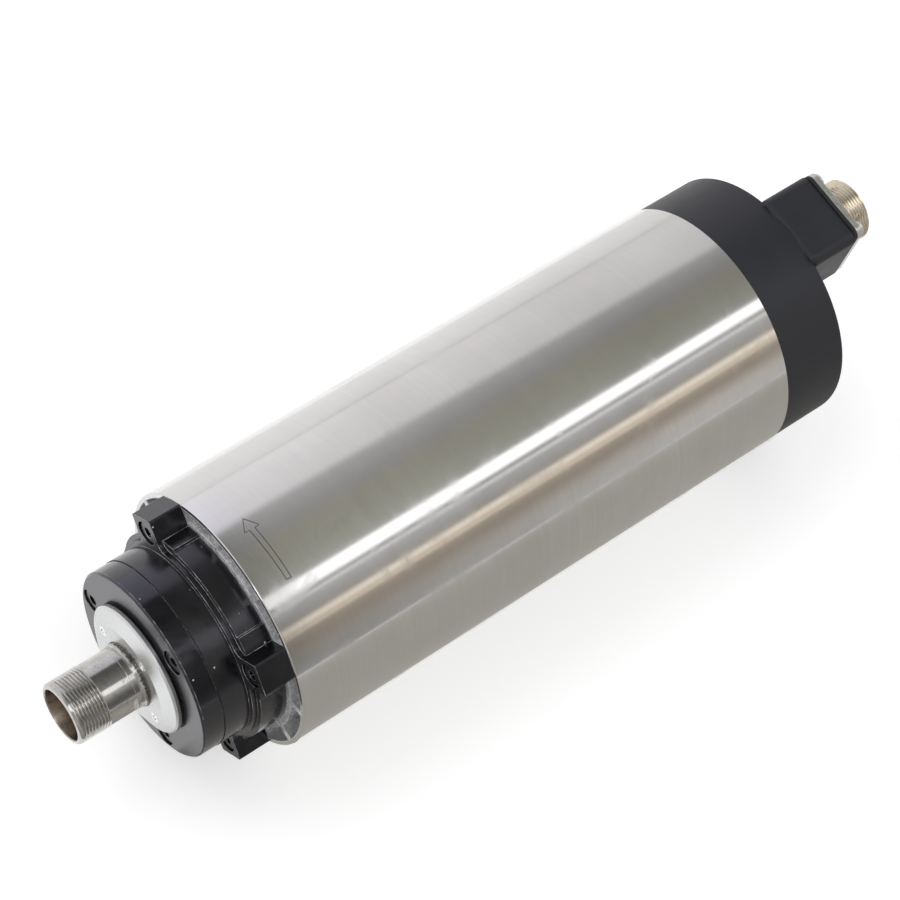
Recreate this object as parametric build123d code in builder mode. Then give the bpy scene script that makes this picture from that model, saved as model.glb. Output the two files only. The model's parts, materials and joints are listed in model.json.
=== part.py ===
# Air-cooled motor spindle with a round steel body, lying along X.
# Nose and collet seat point to -X, the rear cover and its connector box to +X, the connector up (+Z).
# The origin is on the spindle axis, at the middle of the clamping length.
# Angles round the axis are counted from +Y towards +Z.
import os
from math import asin, degrees, hypot, radians, sqrt, tan

from build123d import *

# Clearances
press_gap = 0.02
running_gap = 0.05
labyrinth_gap = 0.6
bolt_gap = 0.2
housing_gap = 0.1
lead_gap = 1.0

# Steel sleeve
body_length = 178.0
body_radius = 40.0
sleeve_wall = 1.5
sleeve_chamfer = 0.25
sleeve_bore = body_radius - sleeve_wall
front_rim = -body_length / 2
rear_rim = body_length / 2

# Ribbed stator housing
core_bore = body_radius - 10.0
core_wall = 4.0
rib_count = 12
rib_width = 2.2
boss_width = 9.0
rib_middle = core_bore + 6.0
rib_height = 12.0
housing_setback = 10.0
long_thread_depth = 20.0
core_radius = core_bore + core_wall
rib_radius = sleeve_bore - press_gap
housing_rear = rear_rim - housing_setback

# Ears of the front flange and the screws in them
ear_count = 4
first_ear_angle = 45.0
ear_width = 9.7
ear_length = 10.2
ear_plate = 1.7
ear_corner = 0.5
ear_root_fillet = 3.0
pad_radius = body_radius - 7.0
pad_width = 20.0
body_step_radius = core_bore + 2.2
lip_radius = core_bore + 0.7
barrel_radius = core_bore - 0.8
barrel_length = 8.2
ear_reach = sqrt(body_radius**2 - (ear_width / 2) ** 2) - housing_gap
ear_front = front_rim - ear_length
barrel_front = ear_front - barrel_length
neck_radius = core_bore - press_gap

# Socket-head screws
screw_radius = 2.0
head_radius = 3.5
head_height = 4.0
head_sink = 0.5
socket_radius = 1.73
socket_depth = 2.0
head_chamfer = 0.35
ear_screw_length = 16.0
ear_screw_circle = body_radius - 5.4
cover_screw_length = 12.0
cover_screw_circle = 24.4
cover_screw_count = 3
cover_screw_angle = 113.0

# Front bearings, two 20 x 42 x 12 in tandem with a spacer between
front_bore = 10.0
front_outside = 21.0
front_width = 12.0
front_ball = 3.2
front_ball_count = 11
spacer_length = 4.0
shoulder_bore = 18.2
shoulder_width = 3.5

cage_rim = 0.9

# Rear bearing, 15 x 32 x 9
rear_bore = 7.5
rear_outside = 16.0
rear_width = 9.0
rear_ball = 2.4
rear_ball_count = 10

# Front cover and the dust cap that turns in front of it
cover_thickness = 6.75
cover_radius = barrel_radius - 0.15
cover_chamfer = 0.6
cover_spigot = 2.0
cover_front = barrel_front - cover_thickness
hub_radius = 12.4
cap_radius = 20.0
cap_gap = 0.9
cap_rim = 1.1
cap_bevel = 0.5
cap_rise = 1.9
cap_flat_radius = 15.4
pin_hole_count = 4
pin_hole_circle = 13.7
pin_hole_radius = 0.8
pin_hole_depth = 1.5
pin_hole_angle = 106.0

# Spindle shaft
nose_radius = 9.5
nose_reach = 51.7
nose_round = 1.1
shank_radius = 9.3
flat_distance = 8.5
flat_start = 41.6
flat_end = 33.0
flat_angle = 176.0
taper_mouth = 7.95
taper_angle = 8.0
shank_bore = 5.25
shank_depth = 45.0
shoulder_radius = 12.8
rotor_seat = 12.0
rear_neck = 9.0
fan_seat = 6.0
fan_thread_length = 10.0
nose_front = front_rim - nose_reach
thread_end = front_rim - flat_start
collar_front = front_rim - flat_end

# Stator and rotor
stator_start = 28.0
stator_rear_room = 50.0
stator_length = body_length - stator_start - stator_rear_room
air_gap = 0.6
rotor_radius = 17.0
slot_count = 24
slot_mouth = 1.6
slot_width = 2.8
slot_inner = 19.4
slot_outer = core_bore - 4.4
slot_mouth_length = 4.0
slot_liner = 0.4
winding_length = 10.0
winding_inner = 19.6
winding_outer = core_bore - 1.6
winding_round = (winding_outer - winding_inner) / 3
end_ring_length = 6.0
end_ring_step = 0.4
end_ring_chamfer = 0.8
stator_front = front_rim + stator_start
stator_rear = stator_front + stator_length

# Rear shield, preload spring, fan and its fixing
shield_spigot = 14.0
shield_hub = 20.0
shield_rim = 2.6
shield_rim_length = 7.0
shield_plate = 6.0
shield_hub_bore = 13.0
shield_arm_length = 16.0
shield_arm_inner = core_bore - 4.0
shield_arm_outer = rib_radius - 1.0
spring_length = 2.0
spring_sheet = 0.6
spring_inner_gap = 0.3
fan_gap = 2.0
fan_length = 13.0
fan_radius = body_radius - 11.0
fan_hub = 10.4
fan_disc = 1.4
fan_washer = 0.8
fan_screw_length = 9.0
fan_hub_step = 1.0
fan_blade_width = 1.4
fan_blade_sweep = 9.0
fan_blade_curve = 30.0
fan_blade_inset = 1.2
fan_blade_count = 9
spacer_radius = 10.0
shield_rear = housing_rear + shield_plate
rear_bearing_rear = housing_rear
rear_bearing_front = rear_bearing_rear - rear_width
spring_front = rear_bearing_front - spring_length
fan_front = shield_rear + fan_gap
shaft_rear = fan_front + fan_length

# Rear cover with its intake slots
rear_cover_length = 22.35
rear_cover_radius = body_radius - 0.45
rear_cover_wall = 2.5
rear_cover_round = 0.6
rear_lip_wall = 1.0
rear_lip_length = 4.0
column_radius = 3.8
long_screw_length = 38.0
intake_count = 20
intake_width = 2.6
intake_inner = 12.0
intake_outer = body_radius - 11.0
intake_margin = 6.0
rear_face = rear_rim + rear_cover_length
rear_inside = rear_face - rear_cover_wall

# Connector box on the rear cover
connector_height = body_radius - 11.5
box_width = 25.4
box_height = 23.4
box_depth = 15.5
box_corner = 3.0
box_wall = 2.0
box_lead = 1.2
box_boss = 5.6
gasket_thickness = 1.2
plate_side = 24.4
plate_thickness = 1.8
plate_corner = 2.8
barrel_thread_radius = 9.5
barrel_thread_length = 8.75
barrel_chamfer = 0.4
barrel_wall = 1.3
connector_tail_radius = 8.4
connector_tail_length = 8.0
connector_tail_wall = 1.2
insert_recess = 6.8
pin_count = 4
contact_radius = 0.8
contact_circle = 3.9
contact_reach = 3.4
contact_tail = 2.0
contact_chamfer = 0.3
plate_screw_spacing = 18.6
plate_screw_radius = 1.5
plate_screw_head = 2.4
plate_screw_dome = 1.7
plate_screw_round = 0.75 * plate_screw_dome
plate_screw_socket = 1.15
plate_socket_depth = 0.7 * plate_screw_dome
plate_screw_length = 7.0
box_end = rear_face + box_depth
plate_front = box_end + gasket_thickness
plate_rear = plate_front + plate_thickness
barrel_end = plate_rear + barrel_thread_length

# Leads between the connector and the stator winding
lead_radius = 0.9
lead_spacing = 2.4
lead_count = 3
lead_height = core_radius + 1.8
lead_exit_height = winding_outer - 1.9
lead_start = 2.2
lead_dip = 8.0
lead_rise = 11.0
lead_run = 4.0
lead_bend_share = 0.45
lead_slot_width = 9.0
lead_slot_length = 15.0

os.makedirs("parts", exist_ok=True)
connector_centre = (0, connector_height)
ear_angles = dict(count=ear_count, start_angle=first_ear_angle)
screw_hole = screw_radius + press_gap


def across(x):
    """The plane across the spindle axis at x, with +Y to its right and +Z up."""
    return Plane.YZ.offset(x)


def turn(profile, mode=Mode.ADD):
    """Turn a closed outline of (x, radius) points about the spindle axis."""
    with BuildSketch(Plane.XY) as section:
        with BuildLine():
            Polyline(*profile, close=True)
        make_face()
    revolve(section.sketch, axis=Axis.X, mode=mode)


def ring(start, end, inner, outer):
    """The outline of a plain ring between two places along the axis."""
    return [(start, inner), (start, outer), (end, outer), (end, inner)]


def rod(start, end, radius, circle=0, count=1, first_angle=0, mode=Mode.ADD):
    """Round rods along the axis, one or a circle of them."""
    with BuildSketch(across(start)) as section:
        with PolarLocations(circle, count, start_angle=first_angle):
            Circle(radius)
    extrude(section.sketch, amount=end - start, mode=mode)


def save(part, name):
    """Label a finished piece and write it to its own file."""
    part.label = name
    export_step(part, f"parts/{name}.step")


def socket_screw(length):
    """A socket-head screw along X, its head's front face at the origin and its tip towards +X."""
    with BuildPart() as screw:
        turn(ring(0, head_height, 0, head_radius))
        rod(head_height, head_height + length, screw_radius)
        with BuildSketch(across(0)):
            RegularPolygon(socket_radius, 6)
        extrude(amount=socket_depth, mode=Mode.SUBTRACT)
        chamfer(screw.edges().filter_by(GeomType.CIRCLE).group_by(Axis.X)[0], head_chamfer)
    return screw.part


def ring_of_screws(name, length, head, circle, count, first_angle, towards=1):
    """A circle of screws with their heads at x = head and their tips towards +X or -X."""
    with BuildPart() as screws:
        with Locations(across(head)):
            with PolarLocations(circle, count, start_angle=first_angle):
                with Locations(Location((0, 0, 0), (0, -90 * towards, 0))):
                    add(socket_screw(length))
    save(screws.part, name)


def bearing(name, start, bore, outside, width, ball, ball_count):
    """An angular-contact ball bearing: outer ring, inner ring, balls and cage."""
    middle = start + width / 2
    pitch = (bore + outside) / 2
    land = 0.55 * ball
    race = ball + running_gap
    cage_half = 0.33 * ball
    for label, inner, outer in (
        ("outer_ring", pitch + land, outside),
        ("inner_ring", bore, pitch - land),
    ):
        with BuildPart() as bearing_ring:
            turn(ring(start, start + width, inner, outer))
            with BuildSketch(Plane.XY) as groove:
                with Locations((middle, pitch)):
                    Circle(race)
            revolve(groove.sketch, axis=Axis.X, mode=Mode.SUBTRACT)
        save(bearing_ring.part, f"{name}_{label}")
    with BuildPart() as balls:
        with Locations(across(middle)):
            with PolarLocations(pitch, ball_count):
                Sphere(ball)
    save(balls.part, f"{name}_balls")
    with BuildPart() as cage:
        turn(ring(middle - ball - cage_rim, middle + ball + cage_rim, pitch - cage_half, pitch + cage_half))
        with Locations(across(middle)):
            with PolarLocations(pitch, ball_count):
                Cylinder(ball + 3 * running_gap, ball, rotation=(0, 90, 0), mode=Mode.SUBTRACT)
    save(cage.part, f"{name}_cage")


# Steel sleeve
with BuildPart() as outer_sleeve:
    turn(ring(front_rim, rear_rim, sleeve_bore, body_radius))
    rims = outer_sleeve.edges().filter_by(GeomType.CIRCLE).filter_by(lambda e: e.radius > sleeve_bore + 0.1)
    chamfer(rims, sleeve_chamfer)
save(outer_sleeve.part, "outer_sleeve")

# Stator housing: an extrusion with air channels between its ribs
with BuildPart() as stator_housing:
    with BuildSketch(across(front_rim)):
        Circle(core_radius)
        with PolarLocations(rib_middle, rib_count, start_angle=first_ear_angle):
            Rectangle(rib_height, rib_width)
        with PolarLocations(rib_middle, **ear_angles):
            Rectangle(rib_height, boss_width)
        Circle(rib_radius, mode=Mode.INTERSECT)
        Circle(core_bore, mode=Mode.SUBTRACT)
    extrude(amount=housing_rear - front_rim)
    rod(front_rim, front_rim + ear_screw_length, screw_hole, ear_screw_circle, ear_count,
        first_ear_angle, mode=Mode.SUBTRACT)
    rod(housing_rear - long_thread_depth, housing_rear, screw_hole, ear_screw_circle, ear_count,
        first_ear_angle, mode=Mode.SUBTRACT)
    with Locations((stator_rear + winding_length + lead_slot_length / 2 + lead_gap, 0, core_radius)):
        Box(lead_slot_length, lead_slot_width, 4 * core_wall, mode=Mode.SUBTRACT)
save(stator_housing.part, "stator_housing")

# Front flange: bearing seat, neck and four ears that stand on the end of the sleeve
bearing_front = barrel_front + cover_spigot
second_bearing = bearing_front + front_width + spacer_length
bearing_shoulder = second_bearing + front_width
flange_rear = bearing_shoulder + shoulder_width
with BuildPart() as front_flange:
    turn([
        (barrel_front, 0), (barrel_front, barrel_radius), (ear_front, barrel_radius),
        (ear_front, neck_radius), (flange_rear, neck_radius), (flange_rear, 0),
    ])
    turn(ring(ear_front + ear_plate, front_rim, shoulder_bore, body_step_radius))
    with BuildSketch(across(ear_front)) as ear_plate_outline:
        Circle(lip_radius)
        with PolarLocations(ear_reach / 2, **ear_angles):
            Rectangle(ear_reach, ear_width)
        roots = ear_plate_outline.vertices().filter_by(lambda v: hypot(v.X, v.Y) < lip_radius + 1)
        fillet(roots, ear_root_fillet)
        tips = ear_plate_outline.vertices().filter_by(lambda v: hypot(v.X, v.Y) > ear_reach)
        fillet(tips, ear_corner)
    extrude(amount=ear_plate)
    with BuildSketch(across(ear_front)) as ear_outline:
        with PolarLocations(ear_reach / 2, **ear_angles):
            Rectangle(ear_reach, ear_width)
        tips = ear_outline.vertices().filter_by(lambda v: hypot(v.X, v.Y) > ear_reach)
        fillet(tips, ear_corner)
    extrude(amount=ear_length)
    with BuildSketch(across(ear_front + ear_plate)):
        with PolarLocations(pad_radius / 2, **ear_angles):
            Rectangle(pad_radius, pad_width)
        Circle(pad_radius, mode=Mode.INTERSECT)
    extrude(amount=ear_length - ear_plate)
    rod(barrel_front, bearing_shoulder, front_outside + press_gap, mode=Mode.SUBTRACT)
    rod(bearing_shoulder, flange_rear, shoulder_bore, mode=Mode.SUBTRACT)
    with Locations(Plane(origin=(ear_front, 0, 0), x_dir=(0, -1, 0), z_dir=(-1, 0, 0))):
        with PolarLocations(ear_screw_circle, **ear_angles):
            CounterBoreHole(screw_radius + bolt_gap, head_radius + bolt_gap, head_height + head_sink)
    rod(barrel_front, barrel_front + cover_screw_length, screw_hole, cover_screw_circle,
        cover_screw_count, cover_screw_angle, mode=Mode.SUBTRACT)
save(front_flange.part, "front_flange")
ring_of_screws("ear_screws", ear_screw_length, ear_front + head_sink, ear_screw_circle,
               ear_count, first_ear_angle)

# Front cover: closes the bearing seat and holds the outer rings
with BuildPart() as front_cover:
    turn([
        (cover_front, hub_radius + labyrinth_gap), (cover_front, cover_radius - cover_chamfer),
        (cover_front + cover_chamfer, cover_radius), (barrel_front, cover_radius),
        (barrel_front, front_outside - press_gap), (bearing_front, front_outside - press_gap),
        (bearing_front, shoulder_bore), (barrel_front, shoulder_bore),
        (barrel_front, hub_radius + labyrinth_gap),
    ])
    with Locations(Plane(origin=(cover_front, 0, 0), x_dir=(0, -1, 0), z_dir=(-1, 0, 0))):
        with PolarLocations(cover_screw_circle, cover_screw_count, start_angle=180 - cover_screw_angle):
            CounterBoreHole(screw_radius + bolt_gap, head_radius + bolt_gap, head_height + head_sink)
save(front_cover.part, "front_cover")
ring_of_screws("front_cover_screws", cover_screw_length, cover_front + head_sink, cover_screw_circle,
               cover_screw_count, cover_screw_angle)

# Dust cap: bearing nut and slinger in one, with pin holes for its spanner
cap_back = cover_front - cap_gap
cap_step = cap_back - cap_rim - cap_bevel
cap_front = cap_step - cap_rise
cap_bore = front_bore + press_gap
with BuildPart() as dust_cap:
    turn([
        (cap_front, cap_bore), (cap_front, cap_flat_radius),
        (cap_step, cap_radius - cap_bevel), (cap_step + cap_bevel, cap_radius), (cap_back, cap_radius),
        (cap_back, hub_radius), (bearing_front, hub_radius), (bearing_front, cap_bore),
    ])
    rod(cap_front, cap_front + pin_hole_depth, pin_hole_radius, pin_hole_circle, pin_hole_count,
        pin_hole_angle, mode=Mode.SUBTRACT)
save(dust_cap.part, "dust_cap")

# Spindle shaft with its collet taper, wrench flats and bearing seats
taper_end = nose_front + (taper_mouth - shank_bore) / tan(radians(taper_angle))
rotor_front = stator_front - end_ring_length
rotor_rear = stator_rear + end_ring_length
with BuildPart() as spindle_shaft:
    turn([
        (nose_front, 0), (nose_front, nose_radius), (thread_end, nose_radius),
        (thread_end, shank_radius), (collar_front, shank_radius),
        (collar_front, front_bore), (bearing_shoulder, front_bore),
        (bearing_shoulder, shoulder_radius), (rotor_front, shoulder_radius),
        (rotor_front, rotor_seat), (rotor_rear, rotor_seat),
        (rotor_rear, rear_neck), (rear_bearing_front, rear_neck),
        (rear_bearing_front, rear_bore), (fan_front, rear_bore),
        (fan_front, fan_seat), (shaft_rear, fan_seat), (shaft_rear, 0),
    ])
    fillet(spindle_shaft.edges().filter_by(GeomType.CIRCLE).group_by(Axis.X)[0], nose_round)
    turn([
        (nose_front, 0), (nose_front, taper_mouth), (taper_end, shank_bore),
        (nose_front + shank_depth, shank_bore), (nose_front + shank_depth + shank_bore / 2, 0),
    ], mode=Mode.SUBTRACT)
    with BuildSketch(across(thread_end)):
        with PolarLocations(flat_distance + nose_radius / 2, 2, start_angle=flat_angle):
            Rectangle(nose_radius, 3 * nose_radius)
    extrude(amount=flat_start - flat_end, mode=Mode.SUBTRACT)
    rod(shaft_rear - fan_thread_length, shaft_rear, screw_hole, mode=Mode.SUBTRACT)
save(spindle_shaft.part, "spindle_shaft")

# Bearings and the spacers between the front pair
bearing("front_bearing_1", bearing_front, front_bore, front_outside, front_width, front_ball,
        front_ball_count)
bearing("front_bearing_2", second_bearing, front_bore, front_outside, front_width, front_ball,
        front_ball_count)
bearing("rear_bearing", rear_bearing_front, rear_bore, rear_outside, rear_width, rear_ball, rear_ball_count)
for spacer_name, spacer_inner, spacer_outer in (
    ("outer_spacer", shoulder_bore, front_outside),
    ("inner_spacer", front_bore, shoulder_radius),
):
    with BuildPart() as spacer:
        turn(ring(bearing_front + front_width, second_bearing, spacer_inner, spacer_outer))
    save(spacer.part, spacer_name)

# Stator core with its slots
with BuildPart() as stator_core:
    with BuildSketch(across(stator_front)):
        Circle(core_bore - press_gap)
        Circle(rotor_radius + air_gap, mode=Mode.SUBTRACT)
        with PolarLocations(slot_inner, slot_count):
            Rectangle(slot_mouth_length, slot_mouth, mode=Mode.SUBTRACT)
        with PolarLocations((slot_inner + slot_outer) / 2, slot_count):
            Rectangle(slot_outer - slot_inner, slot_width, mode=Mode.SUBTRACT)
    extrude(amount=stator_length)
save(stator_core.part, "stator_core")

# Stator winding: a bar in each slot and an end turn at both ends
with BuildPart() as slot_conductors:
    with BuildSketch(across(stator_front)):
        with PolarLocations((slot_inner + slot_outer) / 2, slot_count):
            Rectangle(slot_outer - slot_inner - slot_liner, slot_width - slot_liner)
    extrude(amount=stator_length)
save(slot_conductors.part, "slot_conductors")
for turn_name, turn_middle in (
    ("front_end_turn", stator_front - winding_length / 2),
    ("rear_end_turn", stator_rear + winding_length / 2),
):
    with BuildPart() as end_turn:
        with BuildSketch(Plane.XY) as turn_section:
            with Locations((turn_middle, (winding_inner + winding_outer) / 2)):
                RectangleRounded(winding_length, winding_outer - winding_inner, winding_round)
        revolve(turn_section.sketch, axis=Axis.X)
    save(end_turn.part, turn_name)

# Rotor core and its end rings
with BuildPart() as rotor_core:
    turn(ring(stator_front, stator_rear, rotor_seat, rotor_radius))
save(rotor_core.part, "rotor_core")
for ring_name, ring_start in (("rotor_end_ring_front", rotor_front), ("rotor_end_ring_rear", stator_rear)):
    with BuildPart() as end_ring:
        turn(ring(ring_start, ring_start + end_ring_length, rotor_seat, rotor_radius - end_ring_step))
        chamfer(end_ring.edges().filter_by(GeomType.CIRCLE).group_by(SortBy.RADIUS)[-1], end_ring_chamfer)
    save(end_ring.part, ring_name)

# Rear shield: carries the rear bearing in the housing's end and leaves the air channels open
shield_front = housing_rear - shield_spigot
with BuildPart() as rear_shield:
    turn([
        (shield_front, shield_hub_bore), (shield_front, shield_hub), (housing_rear, shield_hub),
        (housing_rear, neck_radius - shield_rim),
        (housing_rear - shield_rim_length, neck_radius - shield_rim),
        (housing_rear - shield_rim_length, neck_radius), (housing_rear, neck_radius),
        (housing_rear, core_radius), (shield_rear, core_radius), (shield_rear, rear_outside + press_gap),
        (spring_front, rear_outside + press_gap), (spring_front, shield_hub_bore),
    ])
    with BuildSketch(across(housing_rear)):
        with PolarLocations(core_radius, **ear_angles):
            Rectangle(shield_arm_length, boss_width)
        Circle(shield_arm_outer, mode=Mode.INTERSECT)
        Circle(shield_arm_inner, mode=Mode.SUBTRACT)
    extrude(amount=shield_plate)
    rod(housing_rear, shield_rear, screw_radius + bolt_gap, ear_screw_circle, ear_count,
        first_ear_angle, mode=Mode.SUBTRACT)
save(rear_shield.part, "rear_shield")

# Preload spring: a disc spring that pushes the rear bearing's outer ring
with BuildPart() as preload_spring:
    turn([
        (spring_front, rear_outside - housing_gap),
        (spring_front + spring_sheet, rear_outside - housing_gap),
        (rear_bearing_front, shield_hub_bore + spring_inner_gap),
        (rear_bearing_front - spring_sheet, shield_hub_bore + spring_inner_gap),
    ])
save(preload_spring.part, "preload_spring")

# Cooling fan on the shaft's rear end, its spacer and its screw
with BuildPart() as fan_spacer:
    turn(ring(rear_bearing_rear, fan_front, rear_bore, spacer_radius))
save(fan_spacer.part, "fan_spacer")
with BuildSketch() as blade:
    with BuildLine() as blade_line:
        RadiusArc((fan_hub - fan_hub_step, 0), (fan_radius - fan_blade_inset, fan_blade_sweep),
                  fan_blade_curve)
    trace(blade_line.line, fan_blade_width)
with BuildPart() as cooling_fan:
    turn(ring(fan_front, fan_front + fan_length, fan_seat, fan_hub))
    turn(ring(fan_front, fan_front + fan_disc, fan_seat, fan_radius))
    with BuildSketch(across(fan_front)):
        with PolarLocations(0, fan_blade_count):
            add(blade.sketch)
    extrude(amount=fan_length - fan_hub_step)
save(cooling_fan.part, "cooling_fan")
with BuildPart() as fan_screw:
    with Locations(Location((shaft_rear + head_height, 0, 0), (0, 0, 180))):
        add(socket_screw(fan_screw_length))
    turn(ring(shaft_rear, shaft_rear + fan_washer, screw_radius, fan_hub - fan_hub_step))
save(fan_screw.part, "fan_screw")

# Rear cover: cup with intake slots, screw columns and the connector box
with BuildPart() as connector_box:
    with BuildSketch(across(rear_face - box_lead)):
        with Locations(connector_centre):
            RectangleRounded(box_width, box_height, box_corner)
    extrude(amount=box_depth + box_lead)
    chamfer(connector_box.faces().sort_by(Axis.X)[0].edges(), box_lead)
with BuildPart() as rear_cover:
    turn([
        (rear_rim, 0), (rear_rim, rear_cover_radius),
        (rear_face, rear_cover_radius), (rear_face, 0),
    ])
    fillet(rear_cover.edges().filter_by(GeomType.CIRCLE).group_by(Axis.X)[-1], rear_cover_round)
    rod(rear_rim - rear_lip_length, rear_rim, sleeve_bore - press_gap)
    rod(rear_rim - rear_lip_length, rear_inside, sleeve_bore - rear_lip_wall, mode=Mode.SUBTRACT)
    add(connector_box.part)
    with BuildSketch(across(shield_rear)):
        with PolarLocations(ear_screw_circle, **ear_angles):
            Circle(column_radius)
        Circle(sleeve_bore - press_gap, mode=Mode.INTERSECT)
    extrude(amount=rear_inside - shield_rear)
    with BuildSketch(across(rear_inside)):
        with Locations(connector_centre):
            Rectangle(box_width - 2 * box_wall, box_height - 2 * box_boss)
            Rectangle(box_width - 2 * box_boss, box_height - 2 * box_wall)
    extrude(amount=box_end - box_wall - rear_inside, mode=Mode.SUBTRACT)
    with BuildSketch(across(box_end - box_wall)):
        with Locations(connector_centre):
            Circle(connector_tail_radius + bolt_gap)
    extrude(amount=box_wall, mode=Mode.SUBTRACT)
    with BuildSketch(across(box_end)):
        with Locations(connector_centre):
            with GridLocations(plate_screw_spacing, plate_screw_spacing, 2, 2):
                Circle(plate_screw_radius + press_gap)
    extrude(amount=-plate_screw_length, mode=Mode.SUBTRACT)
    box_half_angle = degrees(asin(box_width / 2 / (connector_height - box_height / 2))) + intake_margin
    slot_pitch = (360 - 2 * box_half_angle) / (intake_count - 1)
    with BuildSketch(across(rear_inside)):
        for number in range(intake_count):
            slot_angle = 90 + box_half_angle + number * slot_pitch
            with PolarLocations((intake_inner + intake_outer) / 2, 1, start_angle=slot_angle):
                SlotOverall(intake_outer - intake_inner, intake_width)
    extrude(amount=rear_cover_wall, mode=Mode.SUBTRACT)
    with Locations(across(rear_face)):
        with PolarLocations(ear_screw_circle, **ear_angles):
            CounterBoreHole(screw_radius + bolt_gap, head_radius + bolt_gap, head_height + head_sink,
                            depth=rear_face - shield_rear)
save(rear_cover.part, "rear_cover")
ring_of_screws("rear_cover_screws", long_screw_length, rear_face - head_sink, ear_screw_circle,
               ear_count, first_ear_angle, towards=-1)

# Connector: gasket, square flange with its threaded barrel, insert, contacts and screws
with BuildPart() as connector_gasket:
    with BuildSketch(across(box_end)):
        with Locations(connector_centre):
            RectangleRounded(plate_side, plate_side, plate_corner)
            Circle(connector_tail_radius + bolt_gap, mode=Mode.SUBTRACT)
            with GridLocations(plate_screw_spacing, plate_screw_spacing, 2, 2):
                Circle(plate_screw_radius + bolt_gap, mode=Mode.SUBTRACT)
    extrude(amount=gasket_thickness)
save(connector_gasket.part, "connector_gasket")
barrel_bore = barrel_thread_radius - barrel_wall
insert_front = barrel_end - insert_recess
insert_rear = plate_front - connector_tail_length
insert_radius = connector_tail_radius - connector_tail_wall
with BuildPart() as connector_shell:
    with BuildSketch(across(plate_front)):
        with Locations(connector_centre):
            RectangleRounded(plate_side, plate_side, plate_corner)
            with GridLocations(plate_screw_spacing, plate_screw_spacing, 2, 2):
                Circle(plate_screw_radius + bolt_gap, mode=Mode.SUBTRACT)
    extrude(amount=plate_thickness)
    with BuildSketch(across(plate_rear)):
        with Locations(connector_centre):
            Circle(barrel_thread_radius)
    extrude(amount=barrel_thread_length)
    chamfer(connector_shell.edges().filter_by(GeomType.CIRCLE).group_by(Axis.X)[-1], barrel_chamfer)
    with BuildSketch(across(plate_front)):
        with Locations(connector_centre):
            Circle(connector_tail_radius)
    extrude(amount=-connector_tail_length)
    with BuildSketch(across(barrel_end)):
        with Locations(connector_centre):
            Circle(barrel_bore)
    extrude(amount=-insert_recess, mode=Mode.SUBTRACT)
    with BuildSketch(across(insert_front)):
        with Locations(connector_centre):
            Circle(insert_radius + press_gap)
    extrude(amount=insert_rear - insert_front, mode=Mode.SUBTRACT)
save(connector_shell.part, "connector_shell")
with BuildPart() as connector_insert:
    with BuildSketch(across(insert_rear)):
        with Locations(connector_centre):
            Circle(insert_radius)
            with PolarLocations(contact_circle, pin_count, start_angle=45):
                Circle(contact_radius + press_gap, mode=Mode.SUBTRACT)
    extrude(amount=insert_front - insert_rear)
save(connector_insert.part, "connector_insert")
with BuildPart() as connector_pins:
    with BuildSketch(across(insert_rear - contact_tail)):
        with Locations(connector_centre):
            with PolarLocations(contact_circle, pin_count, start_angle=45):
                Circle(contact_radius)
    extrude(amount=insert_front + contact_reach - insert_rear + contact_tail)
    chamfer(connector_pins.edges().filter_by(GeomType.CIRCLE).group_by(Axis.X)[-1], contact_chamfer)
save(connector_pins.part, "connector_pins")
with BuildPart() as plate_screw:
    turn(ring(plate_rear, plate_rear + plate_screw_dome, 0, plate_screw_head))
    rod(plate_rear - plate_screw_length, plate_rear, plate_screw_radius)
    fillet(plate_screw.edges().filter_by(GeomType.CIRCLE).group_by(Axis.X)[-1], plate_screw_round)
    with BuildSketch(across(plate_rear + plate_screw_dome)):
        RegularPolygon(plate_screw_socket, 6)
    extrude(amount=-plate_socket_depth, mode=Mode.SUBTRACT)
with BuildPart() as connector_screws:
    with Locations(Plane(origin=(0, 0, connector_height), x_dir=(0, 1, 0), z_dir=(1, 0, 0))):
        with GridLocations(plate_screw_spacing, plate_screw_spacing, 2, 2):
            with Locations(Location((0, 0, 0), (0, -90, 0))):
                add(plate_screw.part)
save(connector_screws.part, "connector_screws")

# Leads: along an air channel from the connector to the rear end turn
lead_drop = stator_rear + winding_length + lead_run
lead_route = [
    (insert_rear - lead_start, connector_height), (rear_inside + lead_run, connector_height),
    (rear_inside - lead_dip, lead_height), (lead_drop + lead_rise, lead_height),
    (lead_drop, lead_exit_height), (stator_rear + winding_length, lead_exit_height),
]
lead_bends = []
for before, here, after in zip(lead_route, lead_route[1:], lead_route[2:]):
    run_in = Vector(*here) - Vector(*before)
    run_out = Vector(*after) - Vector(*here)
    turn_angle = radians(run_in.get_angle(run_out))
    lead_bends.append(lead_bend_share * min(run_in.length, run_out.length) / tan(turn_angle / 2))
with BuildPart() as lead_wires:
    for number in range(lead_count):
        side = (number - (lead_count - 1) / 2) * lead_spacing
        with BuildLine(Plane((0, side, 0), x_dir=(1, 0, 0), z_dir=(0, -1, 0))) as lead_path:
            FilletPolyline(*lead_route, radius=lead_bends)
        with BuildSketch(Plane(lead_path.line @ 0, z_dir=lead_path.line % 0)):
            Circle(lead_radius)
        sweep(path=lead_path.line)
save(lead_wires.part, "lead_wires")
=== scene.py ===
import json
import math

import bmesh
import bpy
from mathutils import Matrix, Vector

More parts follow.
